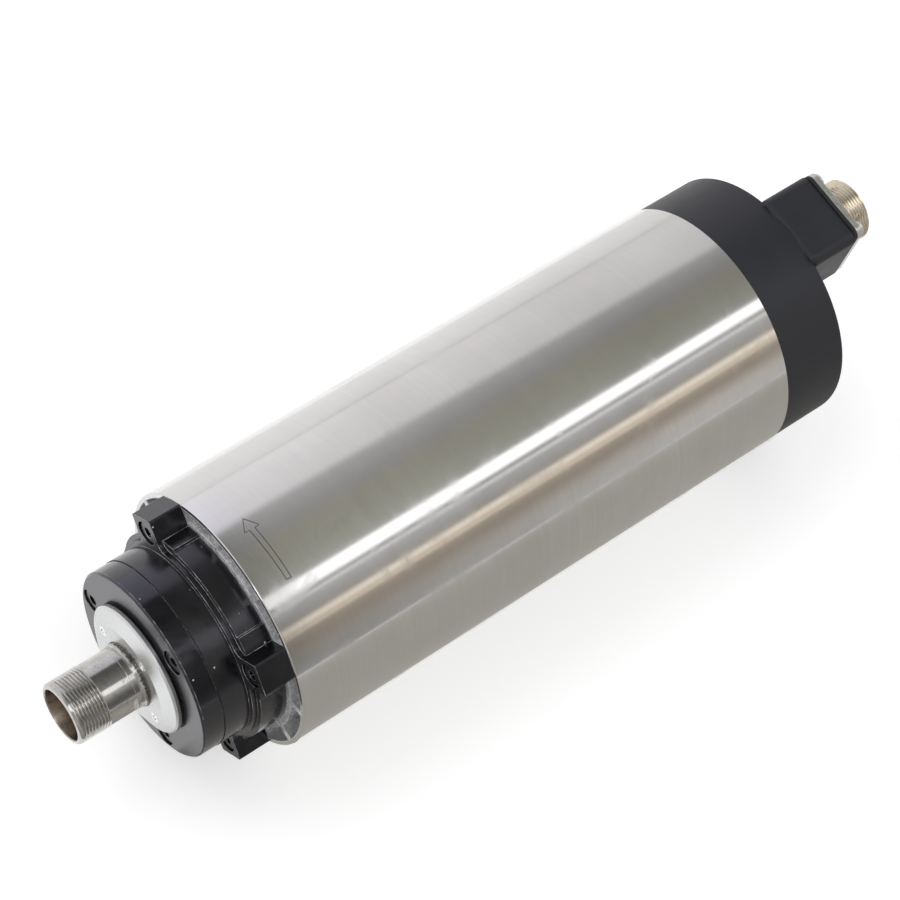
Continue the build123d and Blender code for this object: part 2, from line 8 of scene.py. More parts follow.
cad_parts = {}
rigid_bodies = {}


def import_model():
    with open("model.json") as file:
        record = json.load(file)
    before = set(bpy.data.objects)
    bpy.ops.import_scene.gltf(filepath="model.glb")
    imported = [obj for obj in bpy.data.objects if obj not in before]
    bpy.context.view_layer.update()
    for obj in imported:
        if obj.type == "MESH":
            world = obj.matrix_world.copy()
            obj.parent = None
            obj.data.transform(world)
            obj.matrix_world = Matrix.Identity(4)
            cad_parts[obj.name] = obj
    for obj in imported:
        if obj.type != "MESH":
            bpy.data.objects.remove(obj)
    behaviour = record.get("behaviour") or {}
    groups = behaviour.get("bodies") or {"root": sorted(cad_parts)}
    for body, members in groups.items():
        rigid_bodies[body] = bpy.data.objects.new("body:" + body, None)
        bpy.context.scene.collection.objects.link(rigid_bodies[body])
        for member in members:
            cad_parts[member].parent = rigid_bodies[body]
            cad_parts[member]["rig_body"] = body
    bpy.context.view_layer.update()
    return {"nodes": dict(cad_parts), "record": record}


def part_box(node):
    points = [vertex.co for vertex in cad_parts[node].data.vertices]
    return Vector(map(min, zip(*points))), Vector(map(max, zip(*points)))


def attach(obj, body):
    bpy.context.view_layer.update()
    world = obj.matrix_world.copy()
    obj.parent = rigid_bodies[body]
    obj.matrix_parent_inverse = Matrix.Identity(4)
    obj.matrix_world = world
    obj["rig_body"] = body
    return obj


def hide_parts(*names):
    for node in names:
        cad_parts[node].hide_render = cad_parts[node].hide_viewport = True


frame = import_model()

MM = 0.001
scene = bpy.context.scene
nodes = frame["nodes"]

# Camera: the photograph's viewing place and angle, from the circles of the sleeve, covers and nose
camera = bpy.data.objects.new("camera", bpy.data.cameras.new("camera"))
scene.collection.objects.link(camera)
camera.data.lens = 116.64
camera.data.sensor_width = 36
camera.data.clip_start = 0.01
view_right = Vector((0.78065, -0.59198, 0.20038))
view_up = Vector((0.47039, 0.76766, 0.43528))
view_back = Vector((-0.41150, -0.24555, 0.87773))
camera_place = (-0.34817, -0.19977, 0.74068)
turned = Matrix((view_right, view_up, view_back)).transposed().to_4x4()
camera.matrix_world = Matrix.Translation(camera_place) @ turned
scene.camera = camera
scene.view_settings.view_transform = "Standard"


# Shader building
class Nodes:
    """Short calls for building a shader."""

    def __init__(self, tree):
        self.tree = tree
        tree.nodes.clear()

    def new(self, kind, **settings):
        node = self.tree.nodes.new(kind)
        for key, value in settings.items():
            setattr(node, key, value)
        return node

    def put(self, value, socket):
        if isinstance(value, bpy.types.NodeSocket):
            self.tree.links.new(value, socket)
        else:
            socket.default_value = value

    def show(self, shader, output="ShaderNodeOutputMaterial"):
        self.put(shader.outputs[0], self.new(output).inputs[0])

    def math(self, operation, *values):
        node = self.new("ShaderNodeMath", operation=operation)
        for value, socket in zip(values, node.inputs):
            self.put(value, socket)
        return node.outputs[0]

    def split(self, vector):
        node = self.new("ShaderNodeSeparateXYZ")
        self.put(vector, node.inputs[0])
        return node.outputs

    def ramp(self, factor, *stops):
        node = self.new("ShaderNodeValToRGB")
        elements = node.color_ramp.elements
        while len(elements) < len(stops):
            elements.new(1.0)
        for element, (place, colour) in zip(elements, stops):
            element.position = place
            if not isinstance(colour, (tuple, list)):
                colour = (colour,) * 3
            element.color = (*colour[:3], 1)
        self.put(factor, node.inputs[0])
        return node.outputs[0]

    def noise(self, vector, scale=1.0, detail=2.0, roughness=0.5, distortion=0.0):
        node = self.new("ShaderNodeTexNoise")
        self.put(vector, node.inputs["Vector"])
        node.inputs["Scale"].default_value = scale
        node.inputs["Detail"].default_value = detail
        node.inputs["Roughness"].default_value = roughness
        node.inputs["Distortion"].default_value = distortion
        return node.outputs[0]

    def mix(self, factor, a, b):
        node = self.new("ShaderNodeMix", data_type="RGBA")
        self.put(factor, node.inputs[0])
        self.put(a if isinstance(a, bpy.types.NodeSocket) else (*a[:3], 1), node.inputs[6])
        self.put(b if isinstance(b, bpy.types.NodeSocket) else (*b[:3], 1), node.inputs[7])
        return node.outputs[2]

    def span(self, value, low, high, to_low, to_high):
        node = self.new("ShaderNodeMapRange")
        for number, socket in zip((value, low, high, to_low, to_high), node.inputs):
            self.put(number, socket)
        return node.outputs[0]

    def vector(self, x, y, z):
        node = self.new("ShaderNodeCombineXYZ")
        for value, socket in zip((x, y, z), node.inputs):
            self.put(value, socket)
        return node.outputs[0]


def shades(colour, change):
    """A darker and a lighter version of a colour."""
    return [min(1, c * (1 - change)) for c in colour], [min(1, c * (1 + change)) for c in colour]


# Scales of the patterns that the finishes share, in turns of the noise per metre
smear_scale = 45.0
wear_scale = 260.0
speck_cells = 420.0
grime_scale = 1500.0
spot_scale = 1900.0
speck_edge_scale = 4000.0

# Depths, widths and colours that the finishes share: metres, and shares from 0 to 1
bump_depth = 0.00002
bump_strength = 0.25
bevel_samples = 8
flat_dot = 0.997
edge_dot = 0.94
bare_metal_shine = 0.4
ragged_reach = 0.0006
end_face_normal = 0.75
seam_offset = 0.00008
seam_half = 0.0001
seam_fade = 0.00016
fine_line_shade = 0.72
wide_line_shade = 0.8
dust_cover = 0.8
dust_colour = (0.72, 0.71, 0.69)

finishes = {}


def finish(name, colour, metallic=0.0, roughness=0.4, change=0.12, rough_change=0.06, blotch=120.0,
           lines=0.0, line_scale=2500.0, grain=0.0, grain_scale=4000.0, specks=0.0, speck_size=0.045,
           stain=None, stain_amount=0.0, stain_scale=300.0, specular=0.5, tint=(1, 1, 1), centre=(0, 0),
           smudge=0.0, grime=None, grime_at=0.0, grime_half=0.0004, edge=0.0, wear_and_glint=None, wear_and_glint_amount=0.0,
           inner=None, inner_radius=0.0, end_rough=0.0, end_sheen_colour=(0, 0, 0), seam=None, spots=None,
           spot_amount=0.0, turned_shine=0.0):
    """A procedural finish: colour and roughness that vary, turned lines or moulded grain, dust, stains,
    grime, edges rounded by so many millimetres and lightened, partly as worn bare metal and partly as a
    painted edge glint, another colour inside a radius, duller end faces that wear a painted sheen in a
    lighter colour, a dark joint line at a place along the axis, and small spots of rust or dirt."""
    made = bpy.data.materials.new(name)
    made.use_nodes = True
    n = Nodes(made.node_tree)
    shader = n.new("ShaderNodeBsdfPrincipled")
    n.show(shader)
    place = n.new("ShaderNodeTexCoord").outputs["Object"]
    x, from_y, from_z = n.split(place)
    y = n.math("SUBTRACT", from_y, centre[0])
    z = n.math("SUBTRACT", from_z, centre[1])
    radius = n.math("SQRT", n.math("ADD", n.math("MULTIPLY", y, y), n.math("MULTIPLY", z, z)))
    blotches = n.noise(place, blotch, 3.0, 0.6)
    dark, light = shades(colour, change)
    base = n.mix(n.span(blotches, 0.3, 0.7, 0.0, 1.0), dark, light)
    rough = n.span(blotches, 0.25, 0.75, roughness - rough_change, roughness + rough_change)
    height = None
    if lines:
        sideways = n.math("DIVIDE", y, n.math("MAXIMUM", radius, 1e-4))
        turned_place = n.vector(n.math("MULTIPLY", x, line_scale), n.math("MULTIPLY", radius, line_scale),
                                n.math("MULTIPLY", sideways, 0.6))
        turned_lines = n.noise(turned_place, 1.0, 3.0, 0.7)
        wide_lines = n.noise(turned_place, 0.12, 2.0, 0.6)
        fine_amount = n.span(turned_lines, 0.3, 0.75, 0.0, lines * 0.5)
        wide_amount = n.span(wide_lines, 0.35, 0.7, 0.0, lines * 0.35)
        base = n.mix(fine_amount, base, [c * fine_line_shade for c in colour])
        base = n.mix(wide_amount, base, [c * wide_line_shade for c in colour])
        rough = n.math("ADD", rough, n.span(turned_lines, 0.2, 0.8, -0.05 * lines, 0.09 * lines))
        height = n.math("MULTIPLY", turned_lines, lines)
    if grain:
        fine = n.noise(place, grain_scale, 4.0, 0.6)
        rough = n.math("ADD", rough, n.span(fine, 0.25, 0.75, -0.04, 0.04))
        grain_height = n.math("MULTIPLY", fine, grain)
        height = grain_height if height is None else n.math("ADD", height, grain_height)
    if smudge:
        smear = n.noise(place, smear_scale, 5.0, 0.65, 1.2)
        rough = n.math("ADD", rough, n.span(smear, 0.5, 0.72, 0.0, smudge))
    if stain:
        patches = n.noise(place, stain_scale, 5.0, 0.7, 0.6)
        base = n.mix(n.span(patches, 0.5, 0.72, 0.0, stain_amount), base, stain)
        rough = n.math("ADD", rough, n.span(patches, 0.5, 0.72, 0.0, 0.15 * stain_amount))
    metal = metallic
    rounded = None
    if edge:
        bevel = n.new("ShaderNodeBevel", samples=bevel_samples)
        bevel.inputs["Radius"].default_value = edge * MM
        rounded = bevel.outputs[0]
    # Lighter rounded edges: partly worn bare metal, partly a painted edge glint
    if wear_and_glint:
        dot = n.new("ShaderNodeVectorMath", operation="DOT_PRODUCT")
        n.put(rounded, dot.inputs[0])
        n.put(n.new("ShaderNodeNewGeometry").outputs["Normal"], dot.inputs[1])
        uneven = n.span(n.noise(place, wear_scale, 4.0, 0.65), 0.44, 0.62, 0.1, wear_and_glint_amount)
        line = n.math("MULTIPLY", n.span(dot.outputs["Value"], flat_dot, edge_dot, 0.0, 1.0), uneven)
        base = n.mix(line, base, wear_and_glint)
        rough = n.math("ADD", rough, n.math("MULTIPLY", line, 0.15))
        metal = n.math("MAXIMUM", metallic, n.math("MULTIPLY", line, bare_metal_shine))
    if inner:
        base = n.mix(n.math("LESS_THAN", radius, inner_radius * MM), base, inner)
        metal = n.math("MULTIPLY", metallic, n.math("GREATER_THAN", radius, inner_radius * MM))
    if grime:
        shift = n.span(n.noise(place, grime_scale, 4.0, 0.7), 0.3, 0.7, -ragged_reach, ragged_reach)
        off_middle = n.math("ABSOLUTE", n.math("SUBTRACT", n.math("ADD", x, shift), grime_at))
        near_base = n.span(off_middle, 0.3 * grime_half, grime_half, 0.85, 0.0)
        base = n.mix(near_base, base, grime)
        rough = n.math("ADD", rough, n.math("MULTIPLY", near_base, 0.25))
    if spots:
        dirt = n.span(n.noise(place, spot_scale, 3.0, 0.6), 0.66, 0.70, 0.0, spot_amount)
        base = n.mix(dirt, base, spots)
        rough = n.math("ADD", rough, n.math("MULTIPLY", dirt, 0.3))
    # End faces: rougher, and a lighter colour on faces that face along the axis, which is a painted sheen
    if end_rough:
        normal = n.split(n.new("ShaderNodeNewGeometry").outputs["Normal"])
        facing = n.math("GREATER_THAN", n.math("ABSOLUTE", normal[0]), end_face_normal)
        rough = n.math("MAXIMUM", rough, n.math("MULTIPLY", facing, end_rough))
        base = n.mix(facing, base, end_sheen_colour)
    if seam is not None:
        off_seam = n.math("ABSOLUTE", n.math("SUBTRACT", x, seam + seam_offset))
        gap = n.span(off_seam, seam_half, seam_fade, 1.0, 0.0)
        base = n.mix(gap, base, (0.0, 0.0, 0.0))
        rough = n.math("MAXIMUM", rough, n.math("MULTIPLY", gap, 0.9))
    if specks:
        cells = n.new("ShaderNodeTexVoronoi", feature="F1")
        n.put(place, cells.inputs["Vector"])
        cells.inputs["Scale"].default_value = speck_cells
        chance = n.new("ShaderNodeSeparateColor")
        n.put(cells.outputs["Color"], chance.inputs[0])
        dot_size = n.math("MULTIPLY", chance.outputs[1], speck_size * 2)
        uneven_edge = n.span(n.noise(place, speck_edge_scale, 2.0), 0.3, 0.7, -0.03, 0.03)
        near = n.math("LESS_THAN", n.math("ADD", cells.outputs["Distance"], uneven_edge), dot_size)
        few = n.math("GREATER_THAN", chance.outputs[0], 1.0 - specks)
        dust = n.math("MULTIPLY", n.math("MULTIPLY", near, few), dust_cover)
        base = n.mix(dust, base, dust_colour)
        rough = n.math("ADD", rough, n.math("MULTIPLY", dust, 0.5))
    n.put(base, shader.inputs["Base Color"])
    n.put(metal, shader.inputs["Metallic"])
    shader.inputs["Specular IOR Level"].default_value = specular
    shader.inputs["Specular Tint"].default_value = (*tint, 1)
    n.put(rough, shader.inputs["Roughness"])
    if turned_shine:
        shader.inputs["Anisotropic"].default_value = turned_shine
        tangent = n.new("ShaderNodeTangent", direction_type="RADIAL", axis="X")
        n.put(tangent.outputs[0], shader.inputs["Tangent"])
    if height is not None:
        bump = n.new("ShaderNodeBump")
        bump.inputs["Strength"].default_value = bump_strength
        bump.inputs["Distance"].default_value = bump_depth
        n.put(height, bump.inputs["Height"])
        if rounded:
            n.put(rounded, bump.inputs["Normal"])
        rounded = bump.outputs[0]
    if rounded:
        n.put(rounded, shader.inputs["Normal"])
    finishes[name] = made


# Finishes: name, colour, metallic, roughness, how much colour and roughness vary, scale of the blotches
insert_low, insert_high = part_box("connector_insert")
plug_centre = ((insert_low[1] + insert_high[1]) / 2, (insert_low[2] + insert_high[2]) / 2)
joint_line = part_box("front_flange")[0].x
cap_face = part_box("dust_cap")[0].x
finish("sleeve_steel", (0.72, 0.71, 0.70), 1.0, 0.10, 0.05, 0.02, 30.0, lines=0.32, line_scale=3000.0,
       smudge=0.13, inner=(0.80, 0.80, 0.81), inner_radius=38.7)
finish("raw_aluminium", (0.80, 0.80, 0.82), 0.4, 0.26, 0.22, 0.1, 500.0, grain=0.8, grain_scale=2400.0,
       stain=(0.25, 0.25, 0.26), stain_amount=0.35, edge=0.25, wear_and_glint=(0.95, 0.95, 0.96), wear_and_glint_amount=1.0)
finish("black_gloss", (0.0040, 0.0040, 0.0046), 0.0, 0.10, 0.3, 0.03, 150.0, lines=0.16, grain=0.1,
       edge=0.3, wear_and_glint=(0.7, 0.7, 0.73), wear_and_glint_amount=0.95, specks=0.28, speck_size=0.055, specular=0.85,
       tint=(0.92, 0.90, 1.0), smudge=0.12, end_rough=0.22, end_sheen_colour=(0.03, 0.03, 0.033),
       seam=joint_line)
finish("black_satin", (0.0044, 0.0044, 0.0050), 0.0, 0.18, 0.3, 0.05, 150.0, grain=0.3, edge=0.3,
       wear_and_glint=(0.7, 0.7, 0.73), wear_and_glint_amount=0.9, specks=0.5, speck_size=0.06, specular=0.8,
       tint=(0.92, 0.90, 1.0), smudge=0.15, end_rough=0.22, end_sheen_colour=(0.02, 0.02, 0.022),
       seam=joint_line)
finish("black_screw", (0.010, 0.010, 0.012), 0.2, 0.2, 0.3, 0.06, 400.0, lines=0.3, edge=0.22,
       wear_and_glint=(0.75, 0.75, 0.78), wear_and_glint_amount=0.95, specular=0.8)
finish("satin_aluminium", (0.68, 0.685, 0.69), 1.0, 0.28, 0.04, 0.04, 110.0, lines=0.2,
       line_scale=2600.0, edge=0.3, wear_and_glint=(0.97, 0.97, 0.97), wear_and_glint_amount=1.0, spots=(0.3, 0.29, 0.27),
       spot_amount=0.25, turned_shine=0.75)
finish("ground_steel", (0.54, 0.53, 0.51), 1.0, 0.09, 0.08, 0.03, 250.0, lines=0.35, line_scale=3500.0,
       stain=(0.20, 0.15, 0.11), stain_amount=0.35, stain_scale=420.0, grime=(0.035, 0.021, 0.012),
       grime_at=cap_face - 0.0003, grime_half=0.0006, spots=(0.12, 0.06, 0.03), spot_amount=0.7)
finish("bore_steel", (0.42, 0.365, 0.315), 1.0, 0.22, 0.12, 0.05, 250.0, lines=0.4, line_scale=3500.0,
       stain=(0.10, 0.075, 0.06), stain_amount=0.8, stain_scale=420.0)
finish("bearing_steel", (0.66, 0.66, 0.66), 1.0, 0.1, 0.04, 0.03, 250.0, lines=0.3, line_scale=4000.0)
finish("cage_plastic", (0.34, 0.22, 0.10), 0.0, 0.5, 0.15, 0.06, 300.0, grain=0.5)
finish("core_steel", (0.30, 0.31, 0.33), 1.0, 0.38, 0.15, 0.06, 200.0, lines=1.0, line_scale=2000.0)
finish("copper", (0.72, 0.30, 0.16), 1.0, 0.3, 0.2, 0.08, 500.0, grain=1.0, grain_scale=1800.0,
       stain=(0.25, 0.10, 0.05), stain_amount=0.5)
finish("spring_steel", (0.42, 0.43, 0.45), 1.0, 0.25, 0.1, 0.05, 300.0, lines=0.4)
finish("fan_plastic", (0.02, 0.02, 0.022), 0.0, 0.42, 0.2, 0.06, 200.0, grain=0.6)
finish("black_matte", (0.0150, 0.0155, 0.0190), 0.0, 0.46, 0.08, 0.05, 90.0, grain=0.6,
       grain_scale=5500.0, edge=0.4, specks=0.01, tint=(0.9, 0.92, 1.0))
finish("gasket_rubber", (0.010, 0.010, 0.012), 0.0, 0.6, 0.15, 0.06, 300.0, grain=0.8, edge=0.3)
finish("barrel_nickel", (0.70, 0.62, 0.49), 1.0, 0.17, 0.05, 0.04, 900.0, lines=0.25, centre=plug_centre,
       stain=(0.34, 0.26, 0.16), stain_amount=0.35, stain_scale=700.0)
finish("connector_nickel", (0.66, 0.655, 0.64), 1.0, 0.3, 0.05, 0.05, 600.0, grain=0.5,
       grain_scale=2500.0, edge=0.3)
finish("insert_plastic", (0.018, 0.018, 0.02), 0.0, 0.45, 0.15, 0.05, 300.0, grain=0.6)
finish("contact_brass", (0.80, 0.60, 0.28), 1.0, 0.2, 0.08, 0.05, 300.0, lines=0.3, centre=plug_centre)
finish("lead_insulation", (0.02, 0.02, 0.022), 0.0, 0.4, 0.2, 0.06, 300.0, grain=0.5)
# Pin hole rims: a polish brighter than the cap, partly a painted highlight
finish("rim_polish_and_glint", (0.92, 0.92, 0.93), 1.0, 0.16, 0.05, 0.05, 600.0, grain=0.3, grain_scale=2500.0)
finish("print_ink", (0.05, 0.05, 0.05), 0.0, 0.45, 0.25, 0.08, 1500.0, grain=0.3, grain_scale=3000.0)

# Each CAD node wears the finish of its slot, and the flange a satin black
slot_of = {row["node"]: row["material_slot"] for row in frame["record"]["subparts"]}
for name, node in nodes.items():
    node.data.materials.clear()
    node.data.materials.append(finishes["black_satin" if name == "front_flange" else slot_of[name]])


# Pieces
def piece(name, mesh, body, materials):
    """A new object of the product: it rides on a body and says whose finish it takes."""
    made = bpy.data.objects.new(name, mesh)
    scene.collection.objects.link(made)
    for material in materials:
        mesh.materials.append(finishes[material])
    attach(made, body)
    return made


def supported(rows, margin=0.08):
    """The rows, with two more in each long run, close to its ends, so that shading turns only at corners."""
    full = rows[:1]
    for here, after in zip(rows, rows[1:]):
        run = after[0] - here[0]
        steady = here[1] is after[1] or not (callable(here[1]) or callable(after[1]))
        if abs(run) > 8 * margin and steady:
            for share in (margin / abs(run), 1 - margin / abs(run)):
                reach = here[1] if callable(here[1]) else here[1] + (after[1] - here[1]) * share
                full.append((here[0] + run * share, reach, here[2]))
        full.append(after)
    return full


sharp_angle = math.radians(35)


def lathe(name, rows, steps, centre, body, materials):
    """Rings joined along the X axis. A row is (x, radius or a rule for it by angle, material), in mm."""
    rows = supported(rows)
    bm = bmesh.new()
    rings = []
    for along, radius, _ in rows:
        one = []
        for step in range(steps):
            around = 2 * math.pi * step / steps
            reach = radius(around) if callable(radius) else radius
            one.append(bm.verts.new((along * MM, (centre[0] + reach * math.cos(around)) * MM,
                                     (centre[1] + reach * math.sin(around)) * MM)))
        rings.append(one)
    for number, (one, other) in enumerate(zip(rings, rings[1:])):
        for step in range(steps):
            ahead = (step + 1) % steps
            face = bm.faces.new((one[step], one[ahead], other[ahead], other[step]))
            face.material_index = rows[number][2]
            face.smooth = True
    bmesh.ops.remove_doubles(bm, verts=bm.verts, dist=1e-7)
    bmesh.ops.recalc_face_normals(bm, faces=bm.faces)
    for edge in bm.edges:
        if len(edge.link_faces) == 2 and edge.calc_face_angle(0) > sharp_angle:
            edge.smooth = False
    mesh = bpy.data.meshes.new(name)
    bm.to_mesh(mesh)
    bm.free()
    return piece(name, mesh, body, materials)


rows_per_pitch = 10
valley_share = 0.36
valley_slope = 1.15


def thread_rows(start, end, crest, depth, pitch, fade):
    """Rows of a helical thread between two places, running out at both ends."""
    rows = []
    count = round((end - start) / pitch * rows_per_pitch)
    for number in range(count + 1):
        along = start + (end - start) * number / count
        strength = min(1.0, (along - start) / fade, (end - along) / fade)

        def radius(around, along=along, strength=max(0.0, strength)):
            turn_share = (along / pitch - around / (2 * math.pi)) % 1.0
            valley = max(0.0, 1.0 - abs(turn_share - 0.5) / valley_share)
            return crest - depth * strength * min(1.0, valley_slope * valley)
        rows.append((along, radius, 0))
    return rows


# Spindle shaft: tool bore and collet taper, rounded lip, nose thread, wrench flats, collar and seats
nose_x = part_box("spindle_shaft")[0].x / MM
nose_radius = 9.5
lip = 1.1
thread_end = -130.7
thread_depth = 0.55
thread_pitch = 1.0
neck_radius = 9.42
flat_distance = 8.5
flat_turn = math.radians(176.0)
bore_radius = 5.25
centre_line = 0.001
steel, bore = 0, 1
shaft_steps = 144


def flatted(around):
    """The neck's radius, less where one of the two wrench flats cuts it."""
    return min(neck_radius, flat_distance / max(0.01, abs(math.cos(around - flat_turn))))


rows = [
    (-93.1, centre_line, bore), (-95.7, bore_radius, bore), (-121.5, bore_radius, bore),
    (nose_x + 0.25, 7.9, bore), (nose_x, 8.1, steel),
]
for degrees in range(0, 91, 15):
    a = math.radians(degrees)
    rows.append((nose_x + lip - lip * math.cos(a), nose_radius - lip + lip * math.sin(a), steel))
rows += thread_rows(nose_x + lip + 0.15, thread_end, nose_radius, thread_depth, thread_pitch, 0.5)
rows += [
    (-130.6, neck_radius, steel), (-130.5, flatted, steel), (-122.0, flatted, steel),
    (-122.0, neck_radius, steel), (-121.9, nose_radius, steel), (-119.9, nose_radius, steel),
    (-119.75, 9.6, steel), (-119.5, 9.88, steel), (-119.3, 9.96, steel), (-77.4, 9.98, steel),
    (-77.4, 12.8, steel), (-67.0, 12.8, steel), (-67.0, 12.0, steel), (45.0, 12.0, steel),
    (45.0, 9.0, steel), (70.0, 9.0, steel), (70.0, 7.5, steel), (87.0, 7.5, steel), (87.0, 6.0, steel),
    (99.7, 6.0, steel), (100.0, 5.7, steel), (100.0, 2.02, bore), (90.0, 2.02, bore),
    (90.0, centre_line, bore),
]
shaft = lathe("spindle_shaft_turned", rows, shaft_steps, (0, 0), "rotor",
              ["ground_steel", "bore_steel"])
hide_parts("spindle_shaft")

# Thread on the connector's barrel
barrel_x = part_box("connector_shell")[1].x / MM
barrel_crest = 9.82
barrel_depth = 0.3
barrel_pitch = 1.0
barrel_steps = 120
plug = tuple(c / MM for c in plug_centre)
barrel_rows = [(barrel_x - 7.9, 9.4, 0)]
barrel_rows += thread_rows(barrel_x - 7.8, barrel_x - 0.5, barrel_crest, barrel_depth, barrel_pitch, 0.3)
barrel_rows += [(barrel_x - 0.4, 9.7, 0), (barrel_x + 0.02, 9.35, 0), (barrel_x + 0.02, 8.3, 0),
                (barrel_x - 1.0, 8.15, 0)]
lathe("connector_barrel_thread", barrel_rows, barrel_steps, plug, "housing",
      ["barrel_nickel"])

# Raised rims where the pin holes break the dust cap's face, in a bright polish that is partly a painted
# highlight: depth past the face and radius
pin_hole_count = 4
pin_hole_circle = 13.7
first_pin_angle = 106.0
rim_steps = 32
cap_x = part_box("dust_cap")[0].x / MM
rim_profile = [(0.7, 0.74), (0.1, 0.78), (-0.08, 0.92), (-0.14, 1.12), (-0.12, 1.3), (-0.02, 1.48),
               (0.05, 1.55)]
rim = [(cap_x + depth, radius, 0) for depth, radius in rim_profile]
for number in range(pin_hole_count):
    turned_by = math.radians(first_pin_angle + 90.0 * number)
    middle = (pin_hole_circle * math.cos(turned_by), pin_hole_circle * math.sin(turned_by))
    lathe(f"pin_hole_rim_{number + 1}", rim, rim_steps, middle, nodes["dust_cap"]["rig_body"],
          ["rim_polish_and_glint"])

# Rotation arrow: a thin dark outline printed round the sleeve near its front end.
# Its corners are places along the axis in millimetres and angles round it in degrees.
arrow = [(-79.8, 75.6), (-82.1, 81.3), (-80.55, 81.5), (-80.0, 105.4), (-78.5, 105.6), (-78.85, 81.6),
         (-77.35, 81.3)]
sleeve_radius = 40.0
ink_radius = sleeve_radius + 0.015
ink_half = 0.11
ink_step = 0.6
corners = [Vector((x, math.radians(angle) * sleeve_radius)) for x, angle in arrow]
bm = bmesh.new()
for here, after in zip(corners, corners[1:] + corners[:1]):
    run = after - here
    side = Vector((-run.y, run.x)).normalized() * ink_half
    pieces_along = max(1, round(run.length / ink_step))
    last = None
    for number in range(pieces_along + 1):
        middle = here + run * number / pieces_along
        pair = []
        for flat_place in (middle - side, middle + side):
            around = flat_place.y / sleeve_radius
            pair.append(bm.verts.new((flat_place.x * MM, ink_radius * math.cos(around) * MM,
                                      ink_radius * math.sin(around) * MM)))
        if last:
            bm.faces.new((last[0], last[1], pair[1], pair[0]))
        last = pair
bmesh.ops.recalc_face_normals(bm, faces=bm.faces)
mesh = bpy.data.meshes.new("rotation_arrow")
bm.to_mesh(mesh)
bm.free()
piece("rotation_arrow", mesh, "housing", ["print_ink"])

# Studio
floor_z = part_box("outer_sleeve")[0].z


def plain_mesh(name, points, faces):
    mesh = bpy.data.meshes.new(name)
    mesh.from_pydata(points, [], faces)
    mesh.update()
    made = bpy.data.objects.new(name, mesh)
    scene.collection.objects.link(made)
    return made


def paint(name):
    """A new material and the calls that build its shader."""
    made = bpy.data.materials.new(name)
    made.use_nodes = True
    return made, Nodes(made.node_tree)


def seen_straight(n):
    """1 for what shows to the camera, in a mirror or through glass, and 0 for scattered light."""
    path = n.new("ShaderNodeLightPath")
    shown = n.math("MAXIMUM", path.outputs["Is Camera Ray"], path.outputs["Is Glossy Ray"])
    return n.math("MAXIMUM", shown, path.outputs["Is Transmission Ray"])


def only_in_polish(made):
    """The object shows only in polished surfaces."""
    made.visible_camera = made.visible_diffuse = made.visible_shadow = made.visible_transmission = False


# Floor: pale paper that keeps the shadow and fades into the white room away from the object
floor_half = 8
paper_tone = 0.82
paper_lift = 0.42
fade_start = 0.5
fade_end = 1.2
floor_corners = [(-floor_half, -floor_half, floor_z), (floor_half, -floor_half, floor_z),
                 (floor_half, floor_half, floor_z), (-floor_half, floor_half, floor_z)]
floor = plain_mesh("studio_floor", floor_corners, [(0, 1, 2, 3)])
paper, n = paint("studio_paper")
sheet = n.new("ShaderNodeBsdfDiffuse")
sheet.inputs["Color"].default_value = (paper_tone, paper_tone, paper_tone, 1)
seen = seen_straight(n)
lift = n.new("ShaderNodeEmission")
n.put(n.math("MULTIPLY", seen, paper_lift), lift.inputs["Strength"])
both = n.new("ShaderNodeAddShader")
n.put(sheet.outputs[0], both.inputs[0])
n.put(lift.outputs[0], both.inputs[1])
away = n.new("ShaderNodeVectorMath", operation="LENGTH")
n.put(n.new("ShaderNodeTexCoord").outputs["Object"], away.inputs[0])
far = n.span(away.outputs["Value"], fade_start, fade_end, 0.0, 1.0)
horizon = n.new("ShaderNodeMixShader")
n.put(n.math("MULTIPLY", seen, far), horizon.inputs[0])
n.put(both.outputs[0], horizon.inputs[1])
n.put(n.new("ShaderNodeEmission").outputs[0], horizon.inputs[2])
n.show(horizon)
floor.data.materials.append(paper)

# Room: white to look at, and a softer light on the object
room_light = 0.62
world = bpy.data.worlds.new("studio")
scene.world = world
world.use_nodes = True
n = Nodes(world.node_tree)
air = n.new("ShaderNodeBackground")
n.put(n.span(seen_straight(n), 0.0, 1.0, room_light, 1.0), air.inputs["Strength"])
air.inputs["Color"].default_value = (1, 1, 1, 1)
n.show(air, "ShaderNodeOutputWorld")

# Tent: a half round wall over the object, with a dark ceiling, a strip lamp and a warm panel
tent_radius = 2.5
tent_half = 7
tent_steps = 96
tent_points = []
for step in range(tent_steps + 1):
    around = math.pi * step / tent_steps
    for end in (-tent_half, tent_half):
        tent_points.append((end, tent_radius * math.cos(around), floor_z + tent_radius * math.sin(around)))
tent_faces = [(2 * s, 2 * s + 1, 2 * s + 3, 2 * s + 2) for s in range(tent_steps)]
tent = plain_mesh("studio_tent", tent_points, tent_faces)
only_in_polish(tent)
glow, n = paint("studio_tent")
along, across, up = n.split(n.new("ShaderNodeTexCoord").outputs["Object"])
angle = n.math("DIVIDE", n.math("ARCTAN2", up, across), math.pi)
skew_by_place = n.span(along, 0.84, 1.57, 0.0, 0.11)
skew_by_angle = n.math("MAXIMUM", n.math("SUBTRACT", 1.0, n.math("MULTIPLY", angle, 2.0)), 0.0)
skewed = n.math("SUBTRACT", angle, n.math("MULTIPLY", skew_by_place, skew_by_angle))
strip_light = 1.7


